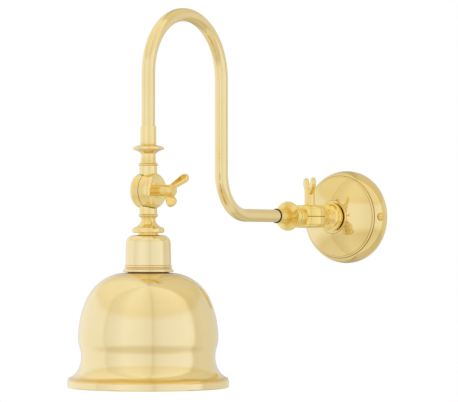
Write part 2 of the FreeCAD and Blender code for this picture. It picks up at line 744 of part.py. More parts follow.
def arm_spine(body):
    """Centre line of the tube: out from the wall, up, over the arch and down."""
    sketch = body.newObject("Sketcher::SketchObject", "Spine")
    sketch.AttachmentSupport = [(origin_part(body, "YZ_Plane"), "")]
    sketch.MapMode = "FlatFace"
    start = f"-({SWING_PIVOT} + socket_at + tube_end_gap)"
    end = "tilt_height + socket_at + tube_end_gap"
    stations = [
        (start, "0"), ("bend_radius - riser_reach", "0", "bend_radius"),
        ("-riser_reach", "bend_radius"), ("-riser_reach", "spring_height", "-arch_radius"),
        ("-riser_reach - arch_radius", "spring_height + arch_radius", "-arch_radius"),
        (f"-{DROP_REACH}", "spring_height"), (f"-{DROP_REACH}", end),
    ]
    places = [Vector(value(station[0]), value(station[1]), 0) for station in stations]
    ends = []
    for index, station in enumerate(stations[:-1]):
        if len(station) == 3:
            middle = arc_middle(places[index], places[index + 1], -value(station[2]))
            edge = sketch.addGeometry(Part.Arc(places[index], middle, places[index + 1]), False)
            radius = sketch.addConstraint(Sketcher.Constraint("Radius", edge, abs(value(station[2]))))
            sketch.setExpression(f"Constraints[{radius}]", formula(f"abs({station[2]})"))
        else:
            edge = sketch.addGeometry(Part.LineSegment(places[index], places[index + 1]), False)
        near_start = sketch.getPoint(edge, 1).distanceToPoint(places[index]) < 1e-6
        ends.append((1, 2) if near_start else (2, 1))
    for index, station in enumerate(stations):
        edge = min(index, len(ends) - 1)
        vertex = ends[edge][0] if index < len(ends) else ends[edge][1]
        for axis, text in (("DistanceX", station[0]), ("DistanceY", station[1])):
            size = sketch.addConstraint(Sketcher.Constraint(axis, -1, 1, edge, vertex, value(text)))
            sketch.setExpression(f"Constraints[{size}]", formula(text))
        if 0 < index < len(ends):
            sketch.addConstraint(Sketcher.Constraint("Coincident", index - 1, ends[index - 1][1],
                                                     index, ends[index][0]))
    return sketch, start


def tube_along_arm(label, radii):
    body = new_body(label)
    spine, start = arm_spine(body)
    section = body.newObject("Sketcher::SketchObject", "Section")
    section.AttachmentSupport = [(origin_part(body, "XZ_Plane"), "")]
    section.MapMode = "FlatFace"
    section.setExpression(".AttachmentOffset.Base.z", formula(f"-1 * ({start})"))
    for index, radius in enumerate(radii):
        section.addGeometry(Part.Circle(Vector(), Vector(0, 0, 1), value(radius)), False)
        section.addConstraint(Sketcher.Constraint("Coincident", index, 3, -1, 1))
        size = section.addConstraint(Sketcher.Constraint("Radius", index, value(radius)))
        section.setExpression(f"Constraints[{size}]", formula(radius))
    pipe = body.newObject("PartDesign::AdditivePipe", "Pipe")
    pipe.Profile = section
    pipe.Spine = (spine, [])
    return body


def straight_flex(label, low, high):
    return turned(label, [("0", low), ("flex_radius", low), ("flex_radius", high), ("0", high)])


# ---------------------------------------------------------------- cup, shade and lampholder

def cup():
    top = "0"
    foot = "-cup_height"
    lip = f"{foot} + cup_lip_height"
    body = turned("shade_cup", [
        ("nipple_radius + hole_play", f"{top} - cup_wall"), ("nipple_radius + hole_play", top),
        ("cup_radius - cup_round", top, "-cup_round"), ("cup_radius", f"{top} - cup_round"),
        ("cup_foot_radius", f"{lip} + 3.6"), (f"cup_foot_radius + cup_bead", f"{lip} + 3", "-1"),
        ("cup_foot_radius + cup_bead", f"{lip} + 1.8"), ("cup_foot_radius + 0.3", f"{lip} + 1.2"),
        ("cup_foot_radius + 0.3", f"{lip} + 0.9", "2.6"), ("cup_lip_radius", f"{lip} - 0.6"),
        ("cup_lip_radius", foot), ("cup_foot_radius - cup_wall + 0.3", foot),
        ("cup_foot_radius - cup_wall", f"{lip} + 3.6"), ("cup_radius - cup_wall", f"{top} - cup_round",
                                                          "cup_round - cup_wall"),
        ("cup_radius - cup_round", f"{top} - cup_wall"),
    ])
    put(body, 0, f"-{DROP_REACH}", CUP_TOP)


def shade():
    """Spun bell: crown, bulge, waist and a flared mouth with an upright rim band."""
    bulge_level = "(bulge_height - shade_depth)"
    waist_level = "(waist_height - shade_depth)"
    flare_level = "(flare_height - shade_depth)"
    crown = ("crown_centre", "0", "90")
    shoulder = ("crown_centre + crown_radius * cos(crown_end_angle)",
                "-crown_radius * (1 - sin(crown_end_angle))", "crown_end_angle")
    bulge = ("bulge_radius", bulge_level, "0")
    middle = ("(bulge_radius + waist_radius) / 2", f"({bulge_level} + {waist_level}) / 2", "-18")
    waist = ("waist_radius", waist_level, "0")
    flare_radius = "(waist_radius + (mouth_radius - waist_radius) * flare_share)"
    flare = (flare_radius, flare_level, "29")
    flare_end = ("mouth_radius - flare_inset", "flare_end_height - shade_depth", "68")

    def through(across, along):
        """Radius of an arc that starts along the axis and moves across and along by these."""
        return f"((({across})^2 + ({along})^2) / (2 * ({across})))"

    side = through(f"bulge_radius - ({shoulder[0]})", f"{shoulder[1]} - {bulge_level}")
    swell = through("(bulge_radius - waist_radius) / 2", "(bulge_height - waist_height) / 2")
    turn_out = through(f"{flare_radius} - waist_radius", "waist_height - flare_height")
    rim_top = "rim_height - shade_depth"
    outer_arcs = ["crown_radius", side, swell, f"-{swell}", f"-{turn_out}", "-flare_curve"]
    points = [crown, shoulder, bulge, middle, waist, flare, flare_end]
    outside = [(point[0], point[1]) + ((f"-({arc})",) if arc else ())
               for point, arc in zip(points, outer_arcs + [None])]
    inner_arcs = ["crown_radius - shade_wall", f"{side} - shade_wall", f"{swell} - shade_wall",
                  f"-({swell} + shade_wall)", f"-({turn_out} + shade_wall)", "-(flare_curve + shade_wall)"]
    inside = []
    for index in range(len(points) - 1, -1, -1):
        arc = ((f"{inner_arcs[index - 1]}",) if index > 0 else ())
        inside.append(inset(points[index], "shade_wall") + arc)
    rim = [
        ("mouth_radius - 0.5", rim_top), ("mouth_radius", f"{rim_top} - 0.7"),
        ("mouth_radius", "1 - shade_depth"), ("mouth_radius - 0.6", "-shade_depth"),
        ("mouth_radius - rim_wall", "-shade_depth"), ("mouth_radius - rim_wall", f"{rim_top} - shade_wall"),
    ]
    hole = "skirt_radius + shade_hole_play"
    body = turned("shade", [(hole, "-shade_wall"), (hole, "0")] + outside + rim + inside)
    put(body, 0, f"-{DROP_REACH}", SHADE_TOP)


def lampholder():
    """Two-part holder on the nipple: cap, threaded skirt, ceramic insert, shell and contact."""
    foot = SHADE_TOP
    thin = "holder_wall"
    cap = turned("lampholder_cap", [
        ("nipple_radius", HOLDER_TOP), ("holder_radius - 5", HOLDER_TOP, "-5"),
        ("holder_radius", f"{HOLDER_TOP} - 5"), ("holder_radius", HOLDER_SPLIT),
        (f"holder_radius - {thin}", HOLDER_SPLIT), (f"holder_radius - {thin}", f"{HOLDER_TOP} - 5"),
        ("holder_radius - 5", f"{HOLDER_TOP} - 2 * {thin}"), ("nipple_radius", f"{HOLDER_TOP} - 2 * {thin}"),
    ])
    end = f"{foot} - skirt_reach"
    skirt = turned("lampholder_skirt", [
        (f"skirt_radius - {thin}", HOLDER_SPLIT), ("holder_radius", HOLDER_SPLIT), ("holder_radius", foot),
        ("skirt_radius", foot), ("skirt_radius", f"{end} + 0.6"), ("skirt_radius - 0.6", end),
        (f"skirt_radius - {thin}", end),
    ])
    insert_top = f"({HOLDER_SPLIT} + insert_height / 2)"
    insert_low = f"({insert_top} - insert_height)"
    insert = turned("lampholder_insert", [
        ("0", insert_low), (f"skirt_radius - {thin}", insert_low), (f"skirt_radius - {thin}", insert_top),
        ("0", insert_top),
    ])
    shell = turned("screw_shell", tube_points("shell_radius", "shell_radius - shell_wall",
                                              f"{insert_low} - shell_length", insert_low))
    contact_low = f"({insert_low} - contact_height)"
    contact = new_body("centre_contact")
    pad(contact, "XZ_Plane", [
        ("-6", insert_low), ("-6", f"{insert_low} - 0.6"), ("-3", contact_low), ("3", contact_low),
        ("3", f"{contact_low} + 0.6"), ("-2.6", f"{contact_low} + 0.6"), ("-5.4", insert_low),
    ], "5", midplane=True)
    ring = turned("shade_ring", [
        ("skirt_radius", f"{foot} - shade_wall"), ("skirt_radius", f"{foot} - shade_wall - shade_ring_height"),
        ("shade_ring_radius - 1", f"{foot} - shade_wall - shade_ring_height"),
        ("shade_ring_radius", f"{foot} - shade_wall - shade_ring_height + 1"),
        ("shade_ring_radius", f"{foot} - shade_wall - 1.5"),
        ("shade_ring_radius - 1", f"{foot} - shade_wall - 0.5"), ("crown_centre", f"{foot} - shade_wall"),
    ])
    for body in (cap, skirt, insert, shell, contact, ring):
        put(body, 0, f"-{DROP_REACH}", 0)
    return contact_low


def bulb(contact_low):
    """Screw cap with its button and an opal glass, hung from the centre contact."""
    cap_top = f"({contact_low} - bulb_button_height)"
    cap_low = f"({cap_top} - bulb_cap_length)"
    button = turned("bulb_button", [
        ("0", cap_top), ("bulb_button_radius + 2", cap_top), ("bulb_button_radius", f"{contact_low} - 0.6"),
        ("bulb_button_radius - 0.6", contact_low), ("0", contact_low),
    ])
    cap = turned("bulb_cap", [
        ("bulb_cap_radius - 1", cap_low), ("bulb_cap_radius", cap_low), ("bulb_cap_radius", f"{cap_top} - 4"),
        ("bulb_button_radius + 2", cap_top), ("bulb_button_radius + 1", f"{cap_top} - 1"),
        ("bulb_cap_radius - 1", f"{cap_top} - 5"),
    ])
    low = f"({cap_low} - bulb_length)"
    equator = f"({low} + bulb_radius)"
    shoulder_r = "(bulb_radius * cos(28))"
    shoulder = f"({equator} + bulb_radius * sin(28))"
    glass = turned("bulb_glass", [
        ("bulb_cap_radius - bulb_wall", cap_low), ("bulb_cap_radius", cap_low),
        ("bulb_cap_radius + 0.6", f"{cap_low} - 8", "60"), (shoulder_r, shoulder, "-bulb_radius"),
        ("bulb_radius", equator, "-bulb_radius"), ("0", low), ("0", f"{low} + bulb_wall", "bulb_radius - bulb_wall"),
        ("bulb_radius - bulb_wall", equator, "bulb_radius - bulb_wall"),
        ("(bulb_radius - bulb_wall) * cos(28)", f"{equator} + (bulb_radius - bulb_wall) * sin(28)", "-60"),
        ("bulb_cap_radius + 0.6 - bulb_wall", f"{cap_low} - 8"),
    ])
    for body in (button, cap, glass):
        put(body, 0, f"-{DROP_REACH}", 0)


# ---------------------------------------------------------------- the whole light

def build():
    wall_plate()
    wall_bracket()
    side_screw("plate_screw_right", 1)
    side_screw("plate_screw_left", -1)
    cable_bush()
    hub()
    terminals()
    upward = Rotation(Vector(0, 0, 1), Vector(1, 0, 0), Vector(0, 1, 0), "XYZ")
    swivel("swing", [("wall_collar", flange_stub), ("arm_inner_collar", sleeve_stub)],
           ("swing_limit", "swing_limit"), ("0", f"-{SWING_PIVOT}", "0"), upward,
           "swing_wing_screw", value("swing_ear_turn"))
    swivel("tilt", [("arm_outer_collar", sleeve_stub), ("shade_collar", flange_stub)],
           ("tilt_in_limit", "tilt_out_limit"), ("0", f"-{DROP_REACH}", "tilt_height"), Rotation(),
           "tilt_wing_screw", value("tilt_ear_turn"))
    tube_along_arm("arm_tube", ["tube_radius", "tube_bore"])
    tube_along_arm("arm_flex", ["flex_radius"])
    cup()
    shade()
    contact_low = lampholder()
    bulb(contact_low)
    nipple = turned("shade_nipple", tube_points(
        "nipple_radius", "nipple_bore", f"{HOLDER_TOP} - 2 * holder_wall",
        f"{CUP_TOP} + seat_gap + nipple_grip"))
    ring = turned("shade_seat_ring", tube_points("seat_ring_radius - 3", "nipple_radius",
                                                 CUP_TOP, f"{CUP_TOP} + seat_gap"))
    for body in (nipple, ring):
        put(body, 0, f"-{DROP_REACH}", 0)
    nut = hexagon_nut("shade_nut", "nut_thick")
    put(nut, 0, f"-{DROP_REACH}", f"{CUP_TOP} - cup_wall - nut_thick")
    flex = straight_flex("shade_flex", f"{HOLDER_SPLIT} + insert_height / 2", f"tilt_height - {FLEX_START}")
    put(flex, 0, f"-{DROP_REACH}", 0)
    leads()


def leads():
    """Flex from the wall collar to behind the hub, and its three cores to the terminal block."""
    sheath_end = f"({INNER_ROOF} - hub_washer_thick - nut_thick - nipple_tail - 1)"
    flex = straight_flex("wall_flex", sheath_end, f"{SWING_PIVOT} - {FLEX_START}")
    put(flex, turn=OFF_WALL)
    way_out = "(bar_thick + block_thick / 2)"
    entry = f"({BLOCK_MIDDLE} - block_width / 2)"
    for name, way, lift in (("neutral_core", -1, "core_spread / 2"), ("earth_core", 0, "-core_spread"),
                            ("live_core", 1, "core_spread / 2")):
        aside = f"{way} * core_spread * cos(30)"
        smooth_tube(name, [
            (aside, f"-({sheath_end})", lift),
            (aside, f"-({sheath_end} - core_straight)", lift),
            (f"{way} * way_spacing", f"-{way_out} - 4", f"-{entry} * 0.3"),
            (f"{way} * way_spacing", f"-{way_out}", f"{entry} * 0.45"),
            (f"{way} * way_spacing", f"-{way_out}", f"{entry} + 5"),
        ], "core_radius")


def broken():
    """Labels of the objects that failed, or whose shape can't be used."""
    faults = [item.Label for item in doc.Objects if {"Invalid", "Error"} & set(item.State)]
    for piece in pieces():
        if piece.Shape.isNull() or not piece.Shape.isValid():
            faults.append(piece.Label)
    return faults


def pieces():
    bodies = [item for item in doc.Objects if item.isDerivedFrom("PartDesign::Body")]
    loose = [item for item in doc.Objects if item.TypeId == "Part::Feature"]
    return bodies + loose


build()
doc.recompute()
faults = broken()
if faults:
    raise RuntimeError(f"these did not build: {faults}")
os.makedirs("parts", exist_ok=True)
for piece in pieces():
    piece.Shape.exportStep(f"parts/{piece.Label}.step")
    box = piece.Shape.BoundBox
    print(f"{piece.Label:24s} solids {len(piece.Shape.Solids)}  volume {piece.Shape.Volume:10.1f}  "
          f"x {box.XMin:7.1f} {box.XMax:7.1f}  y {box.YMin:7.1f} {box.YMax:7.1f}  z {box.ZMin:7.1f} {box.ZMax:7.1f}")
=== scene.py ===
from math import cos, pi, radians, sin

import bpy
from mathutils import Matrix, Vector

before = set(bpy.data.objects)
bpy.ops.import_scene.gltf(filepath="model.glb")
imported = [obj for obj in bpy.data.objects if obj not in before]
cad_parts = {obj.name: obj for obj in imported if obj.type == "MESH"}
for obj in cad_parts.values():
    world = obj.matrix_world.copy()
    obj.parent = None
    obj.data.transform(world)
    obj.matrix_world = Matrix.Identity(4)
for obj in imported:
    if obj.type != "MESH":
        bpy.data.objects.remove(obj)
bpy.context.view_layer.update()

scene = bpy.context.scene

# The photograph's view: degrees round from the front and above, and the point that is looked at, in metres.
VIEW_AZIMUTH, VIEW_ELEVATION = 35.43, -1.03
VIEW_DISTANCE = 2.6
VIEW_TARGET = Vector((0, -0.221, 0.01411))
SENSOR_WIDTH, LENS_LENGTH = 36, 204.1
NEAREST, FARTHEST = 0.05, 60
LAMP_TARGET = Vector((0, -0.25, 0))
# The floor, and the distances from its middle between which it fades into the background.
FLOOR_MIDDLE, FLOOR_SIZE = (0, -0.2, -0.62), 9
FADE_START, FADE_END = 0.4, 2.4

# The frame's directions, and the turns of a finish whose axis lies along UPWARD, WALLWARD or SIDEWARD.
SIDEWARD, WALLWARD, UPWARD = (1, 0, 0), (0, 1, 0), (0, 0, 1)
UPRIGHT, LAID_BACK, LAID_ACROSS = (0, 0, 0), (radians(90), 0, 0), (0, radians(90), 0)

# Where the turned pieces have their axes, in metres. The plate's axis runs through the origin.
ORIGIN = (0.0, 0.0, 0.0)
SWING_PIVOT = (0.0, -0.0754, 0.0)
TILT_PIVOT = (0.0, -0.3545, 0.022)
SHADE_LINE = (0.0, -0.3545, 0.0)
# The right side screw: a point on its axis, and the way that the axis leans.
SCREW_SEAT, SCREW_LEAN = (0.04774, -0.01155, 0.0), (0.9324, -0.3615, 0.0)

# Radii of the plate's two grooves, of the line round its hub and of its side screws' heads.
GROOVE_RADII = (0.04385, 0.0419)
HUB_LINE_RADIUS = 0.0176
SCREW_HEAD_RADIUS = 0.0041
# How far from a knuckle's pivot its features lie: the ring on the side without a sleeve, and on the other
# side the ring, the disc and the mouth of the sleeve. A neck lies on each side.
PLAIN_RING_EDGES = (0.0228, 0.0246)
SLEEVE_RING_EDGES = (0.0242, 0.0262)
DISC_EDGE, DISC_FOOT = 0.0438, 0.0445
NECK = 0.0300
SLEEVE_MOUTH = 0.0620
# Levels of the cup's bead lines, of its lip and of the crease over the shade's rim, and the lip's radius.
BEAD_LEVELS = (-0.0521, -0.0496)
LIP_LEVEL = -0.0557
RIM_CREASE_LEVEL = -0.1578
LIP_RADIUS = 0.0235
# Half widths of the dark lines, and how strongly they cover the polish.
FINE_LINE, LINE = 0.0004, 0.0005
FAINT, CLEAR, STRONG = 0.45, 0.5, 0.75

# Tones of the brass, from pale to rich, and the colours laid over it: old polish with painted shadow, painted
# shadow and reflection in creases, and painted shadow at the plate's top and in a gap.
PALE = (0.885, 0.755, 0.45)
DEEP = (0.865, 0.67, 0.26)
RICH = (0.85, 0.63, 0.20)
# Old polish in grooves, slots and at ring edges, darkened further as painted shadow.
OLD_POLISH_AND_PAINTED_SHADOW = (0.40, 0.23, 0.06)
# Painted shadow and brass-on-brass reflection in the knuckles' creases.
PAINTED_KNUCKLE_SHADOW = (0.80, 0.50, 0.09)
# Painted shadow and reflection in the crease over the bell's rim and under the cup.
PAINTED_BELL_SHADOW_AND_REFLECTION = (0.76, 0.475, 0.09)
# Painted shadow that darkens the top of the wall plate.
PAINTED_TOP_SHADOW = (0.80, 0.64, 0.30)
# Painted shadow line in the gap at the sleeve's mouth.
PAINTED_GAP_SHADOW = (0.03, 0.02, 0.01)


# ---------------------------------------------------------------- camera, studio and light

def place_camera():
    """Camera at the photograph's viewing angle."""
    azimuth, elevation = radians(VIEW_AZIMUTH), radians(VIEW_ELEVATION)
    back = Vector((sin(azimuth) * cos(elevation), -cos(azimuth) * cos(elevation), sin(elevation)))
    data = bpy.data.cameras.new("Camera")
    data.sensor_width = SENSOR_WIDTH
    data.lens = LENS_LENGTH
    data.clip_start, data.clip_end = NEAREST, FARTHEST
    camera = bpy.data.objects.new("Camera", data)
    camera.location = VIEW_TARGET + back * VIEW_DISTANCE
    camera.rotation_mode = "QUATERNION"
    camera.rotation_quaternion = (-back).to_track_quat("-Z", "Y")
    scene.collection.objects.link(camera)
    scene.camera = camera


def fill(links, sockets, values):
    """Give each socket its value, or a link where the value is another node's output."""
    for socket, given in zip(sockets, values):
        if hasattr(given, "links"):
            links.new(given, socket)
        else:
            socket.default_value = given


def soft_box(name, place, width, height, power, tint=(1, 1, 1)):
    """Wide lamp turned to the middle of the light, and not itself seen in the polish."""
    data = bpy.data.lights.new(name, "AREA")
    data.shape = "RECTANGLE"
    data.size, data.size_y = width, height
    data.energy = power
    data.color = tint
    lamp = bpy.data.objects.new(name, data)
    lamp.location = place
    lamp.rotation_mode = "QUATERNION"
    lamp.rotation_quaternion = (LAMP_TARGET - Vector(place)).to_track_quat("-Z", "Y")
    lamp.visible_glossy = False
    scene.collection.objects.link(lamp)


def studio_world():
    """White for the camera. Polished metal sees a white tent, warm above and below and dim at the back."""
    world = bpy.data.worlds.new("StudioTent")
    world.use_nodes = True
    scene.world = world
    nodes, links = world.node_tree.nodes, world.node_tree.links
    nodes.clear()

    def math(operation, *values):
        made = nodes.new("ShaderNodeMath")
        made.operation = operation
        fill(links, made.inputs, values)
        return made.outputs[0]

    def ramp(given, *steps):
        """Colours along a value from -1 to 1."""
        made = nodes.new("ShaderNodeValToRGB")
        links.new(math("MULTIPLY_ADD", given, 0.5, 0.5), made.inputs[0])
        marks = made.color_ramp.elements
        while len(marks) < len(steps):
            marks.new(0.5)
        for mark, (position, colour) in zip(marks, steps):
            mark.position = (position + 1) / 2
            mark.color = (*colour, 1)
        return made.outputs[0]

    def blend(mode, factor, first, second):
        made = nodes.new("ShaderNodeMix")
        made.data_type, made.blend_type = "RGBA", mode
        fill(links, (made.inputs[0], made.inputs[6], made.inputs[7]), (factor, first, second))
        return made.outputs[2]

    direction = nodes.new("ShaderNodeTexCoord").outputs["Generated"]
    split = nodes.new("ShaderNodeSeparateXYZ")
    links.new(direction, split.inputs[0])
    east, north, height = split.outputs

    def towards(azimuth):
        turn = radians(azimuth)
        return math("ADD", math("MULTIPLY", east, sin(turn)), math("MULTIPLY", north, -cos(turn)))

    white = (1.0, 1.0, 1.0)
    bearing = math("DIVIDE", math("ARCTAN2", towards(VIEW_AZIMUTH + 90), towards(VIEW_AZIMUTH)), pi)
    round_about = ramp(
        bearing,
        (-1.0, (0.58, 0.57, 0.52)), (-0.93, (0.84, 0.82, 0.76)), (-0.80, white), (-0.435, (0.99, 0.98, 0.95)),
        (-0.42, (0.86, 0.82, 0.70)), (-0.40, (0.91, 0.90, 0.87)), (-0.33, (0.935, 0.925, 0.90)),
        (-0.25, (1.0, 1.0, 0.99)), (-0.205, (1.03, 1.03, 1.03)), (-0.075, (0.99, 0.99, 0.98)),
        (0.0, (0.94, 0.93, 0.90)), (0.044, (0.92, 0.91, 0.86)), (0.0544, (0.74, 0.67, 0.51)),
        (0.065, (0.89, 0.87, 0.82)), (0.14, (0.95, 0.94, 0.93)), (0.32, white), (0.40, (1.03, 1.03, 1.03)),
        (0.45, (1.01, 1.01, 1.0)), (0.485, (0.80, 0.76, 0.65)), (0.60, (0.84, 0.81, 0.72)),
        (0.90, (0.78, 0.76, 0.69)), (1.0, (0.58, 0.57, 0.52)))
    up_and_down = ramp(
        height,
        (-1.0, (0.90, 0.87, 0.78)), (-0.72, (0.86, 0.82, 0.71)), (-0.50, (0.82, 0.77, 0.64)), (-0.30, white),
        (0.36, white), (0.47, (0.95, 0.88, 0.70)), (0.62, (0.99, 0.93, 0.76)), (1.0, (1.02, 0.98, 0.84)))
    tent = blend("MULTIPLY", 1.0, round_about, up_and_down)

    paths = nodes.new("ShaderNodeLightPath")
    seen = math("MAXIMUM", paths.outputs["Is Camera Ray"], paths.outputs["Is Transmission Ray"])
    background = nodes.new("ShaderNodeBackground")
    links.new(blend("MIX", seen, tent, (1, 1, 1, 1)), background.inputs["Color"])
    out = nodes.new("ShaderNodeOutputWorld")
    links.new(background.outputs[0], out.inputs["Surface"])


def studio_floor():
    """Pale floor far below that fades to the white of the background and is clear from underneath."""
    bpy.ops.mesh.primitive_plane_add(size=FLOOR_SIZE, location=FLOOR_MIDDLE)
    floor = bpy.context.object
    floor.name = "studio_floor"
    material = bpy.data.materials.new("studio_floor")
    material.use_nodes = True
    nodes, links = material.node_tree.nodes, material.node_tree.links
    nodes.clear()
    paper = nodes.new("ShaderNodeBsdfDiffuse")
    paper.inputs["Color"].default_value = (0.92, 0.94, 0.99, 1)
    length = nodes.new("ShaderNodeVectorMath")
    length.operation = "LENGTH"
    links.new(nodes.new("ShaderNodeTexCoord").outputs["Object"], length.inputs[0])
    fade = nodes.new("ShaderNodeMapRange")
    fade.interpolation_type = "SMOOTHSTEP"
    links.new(length.outputs["Value"], fade.inputs["Value"])
    fill(links, (fade.inputs["From Min"], fade.inputs["From Max"], fade.inputs["To Max"]),
         (FADE_START, FADE_END, nodes.new("ShaderNodeLightPath").outputs["Is Camera Ray"]))
    glow = nodes.new("ShaderNodeEmission")
    sweep = nodes.new("ShaderNodeMixShader")
    fill(links, sweep.inputs, (fade.outputs[0], paper.outputs[0], glow.outputs[0]))
    clear = nodes.new("ShaderNodeBsdfTransparent")
    one_sided = nodes.new("ShaderNodeMixShader")
    underneath = nodes.new("ShaderNodeNewGeometry").outputs["Backfacing"]
    fill(links, one_sided.inputs, (underneath, sweep.outputs[0], clear.outputs[0]))
    out = nodes.new("ShaderNodeOutputMaterial")
    links.new(one_sided.outputs[0], out.inputs["Surface"])
    floor.data.materials.append(material)
    floor.visible_glossy = False


# ---------------------------------------------------------------- finishes

class Finish:
    """A node material in the making: one Principled surface and the textures that feed it."""

    def __init__(self, name, colour, metallic=0.0, **surface):
        self.material = bpy.data.materials.new(name)
        self.material.use_nodes = True
        self.nodes, self.links = self.material.node_tree.nodes, self.material.node_tree.links
        self.nodes.clear()
        self.shader = self.nodes.new("ShaderNodeBsdfPrincipled")
        out = self.nodes.new("ShaderNodeOutputMaterial")
        self.links.new(self.shader.outputs[0], out.inputs["Surface"])
        self.shader.inputs["Base Color"].default_value = (*colour, 1)
        self.shader.inputs["Metallic"].default_value = metallic
        for key, given in surface.items():
            self.shader.inputs[key.replace("_", " ")].default_value = given

    def node(self, kind, **settings):
        made = self.nodes.new(kind)
        for key, given in settings.items():
            setattr(made, key, given)
        return made

    def math(self, operation, *values):
        made = self.node("ShaderNodeMath", operation=operation)
        fill(self.links, made.inputs, values)
        return made.outputs[0]

    def vector_math(self, operation, output, *values):
        made = self.node("ShaderNodeVectorMath", operation=operation)
        fill(self.links, made.inputs, values)
        return made.outputs[output]

    def spread(self, given, low, high, from_level, to_level, **settings):
        """A value between low and high, moved to between two levels."""
        made = self.node("ShaderNodeMapRange", **settings)
        sockets = [made.inputs[name] for name in ("Value", "From Min", "From Max", "To Min", "To Max")]
        fill(self.links, sockets, (given, low, high, from_level, to_level))
        return made.outputs[0]

    def place(self, centre=ORIGIN, turn=UPRIGHT):
        """Object coordinates about a piece's own centre, turned so that its axis is Z."""
        mapping = self.node("ShaderNodeMapping", vector_type="TEXTURE")
        mapping.inputs["Location"].default_value = centre
        mapping.inputs["Rotation"].default_value = turn
        self.links.new(self.node("ShaderNodeTexCoord").outputs["Object"], mapping.inputs["Vector"])
        return mapping.outputs["Vector"]

    def noise(self, vector, scale, detail=3.0, roughness=0.5, stretch=None):
        if stretch:
            vector = self.vector_math("MULTIPLY", "Vector", vector, stretch)
        made = self.node("ShaderNodeTexNoise")
        sockets = [made.inputs[name] for name in ("Vector", "Scale", "Detail", "Roughness")]
        fill(self.links, sockets, (vector, scale, detail, roughness))
        return made.outputs["Fac"]

    def tint(self, given, *colours):
        """Base colour that follows a texture through two or more colours."""
        ramp = self.node("ShaderNodeValToRGB")
        self.links.new(given, ramp.inputs[0])
        steps = ramp.color_ramp.elements
        while len(steps) < len(colours):
            steps.new(0.5)
        for step, (position, colour) in zip(steps, colours):
            step.position = position
            step.color = (*colour, 1)
        self.links.new(ramp.outputs[0], self.shader.inputs["Base Color"])

    def gloss(self, given, low, high):
        """Roughness that follows a texture between two values."""
        self.links.new(self.spread(given, 0.3, 0.7, low, high), self.shader.inputs["Roughness"])

    def relief(self, distance, *heights):
        """Bump from one texture, or from several with their shares."""
        total = 0.0
        for given, share in heights:
            total = self.math("MULTIPLY_ADD", given, share, total)
        bump = self.node("ShaderNodeBump")
        sockets = [bump.inputs[name] for name in ("Height", "Distance", "Strength")]
        fill(self.links, sockets, (total, distance, 1.0))
        self.links.new(bump.outputs[0], self.shader.inputs["Normal"])

    def from_point(self, point):
        coordinates = self.node("ShaderNodeTexCoord").outputs["Object"]
        return self.vector_math("SUBTRACT", "Vector", coordinates, point)

    def across(self, point, direction):
        """Distance from the line through a point."""
        turned = self.vector_math("CROSS_PRODUCT", "Vector", self.from_point(point), direction)
        return self.vector_math("LENGTH", "Value", turned)

    def along(self, point, direction):
        """Distance past a point, along a direction."""
        return self.vector_math("DOT_PRODUCT", "Value", self.from_point(point), direction)

    def round_axis(self, vector):
        """Angle about the Z axis of the given coordinates, and the height along it."""
        split = self.node("ShaderNodeSeparateXYZ")
        self.links.new(vector, split.inputs[0])
        x, y, z = split.outputs
        return self.math("ARCTAN2", y, x), z

    def joined(self, x, y, z):
        made = self.node("ShaderNodeCombineXYZ")
        fill(self.links, made.inputs, (x, y, z))
        return made.outputs[0]

    def darken(self, colour, *bands):
        """Bands of a colour over the base colour, each a measure, its middle, half width and strength: old
        polish, and painted shadow and reflection in creases, gaps and on top.
        """
        polish_and_shadow_mask = 0.0
        for measure, middle, half, strength in bands:
            off = self.math("ABSOLUTE", self.math("SUBTRACT", measure, middle))
            band = self.spread(off, 0, half, strength, 0, interpolation_type="SMOOTHSTEP")
            polish_and_shadow_mask = self.math("MAXIMUM", polish_and_shadow_mask, band)
        base = self.shader.inputs["Base Color"]
        mix = self.node("ShaderNodeMix", data_type="RGBA")
        fill(self.links, (mix.inputs[0], mix.inputs[6], mix.inputs[7]),
             (polish_and_shadow_mask, base.links[0].from_socket, (*colour, 1)))
        self.links.new(mix.outputs[2], base)


def lacquered_brass(name, light, dark, roughness, centre=ORIGIN, turn=UPRIGHT):
    """Lacquered brass with slow changes of tone, and the coordinates that its marks follow."""
    finish = Finish(name, light, metallic=1.0, Coat_Weight=0.30, Coat_Roughness=0.04, Coat_IOR=1.45)
    place = finish.place(centre, turn)
    finish.tint(finish.noise(place, scale=26, detail=4), (0.35, light), (0.72, dark))
    finish.gloss(finish.noise(place, scale=60, detail=5, roughness=0.65), *roughness)
    return finish, place


def polished_brass(name, light, dark, centre=ORIGIN, turn=UPRIGHT, roughness=(0.10, 0.17),
                   spun=0.6, buffed=0.4):
    """Lacquered brass with spinning marks round an axis and buffing marks along it."""
    finish, place = lacquered_brass(name, light, dark, roughness, centre, turn)
    angle, height = finish.round_axis(place)
    axis = {LAID_BACK: WALLWARD, LAID_ACROSS: SIDEWARD, UPRIGHT: UPWARD}[turn]
    radius = finish.across(centre, axis)
    rings = finish.noise(finish.joined(radius, height, 0.0), scale=900, detail=5, roughness=0.7)
    drawn_angle = finish.math("MULTIPLY", angle, 0.05)
    drawn_height = finish.math("MULTIPLY", height, 0.15)
    streaks = finish.noise(finish.joined(drawn_angle, drawn_height, 0.0), scale=700, detail=4, roughness=0.6)
    finish.relief(0.000012, (rings, spun), (streaks, buffed))
    return finish


